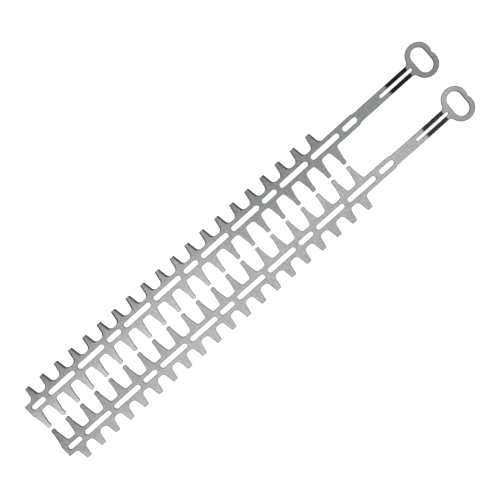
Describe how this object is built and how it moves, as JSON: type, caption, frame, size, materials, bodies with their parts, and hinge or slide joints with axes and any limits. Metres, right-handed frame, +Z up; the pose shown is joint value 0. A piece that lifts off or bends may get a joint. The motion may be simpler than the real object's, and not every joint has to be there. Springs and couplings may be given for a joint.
{
  "type": "pair of hedge trimmer blades",
  "caption": "Matched pair of double-sided hedge trimmer blades: flat toothed steel bars with slots along the middle, a narrow neck and an oblong drive eye.",
  "frame": {"origin": "on the surface the blades lie on, midway between the two blades and midway along them", "axes": "+X along the blades towards the drive eyes, +Y from the turned-over blade to the other, +Z up"},
  "size_m": [0.8084, 0.1428, 0.005],
  "materials": {
    "upper_steel": "ground faces, dark punched edges, black unground band at the stepped neck",
    "lower_steel": "ground faces, dark punched edges, black unground band at the stepped neck"
  },
  "bodies": {
    "root": {"upper_blade": "upper_steel", "lower_blade": "lower_steel"}
  },
  "joints": []
}
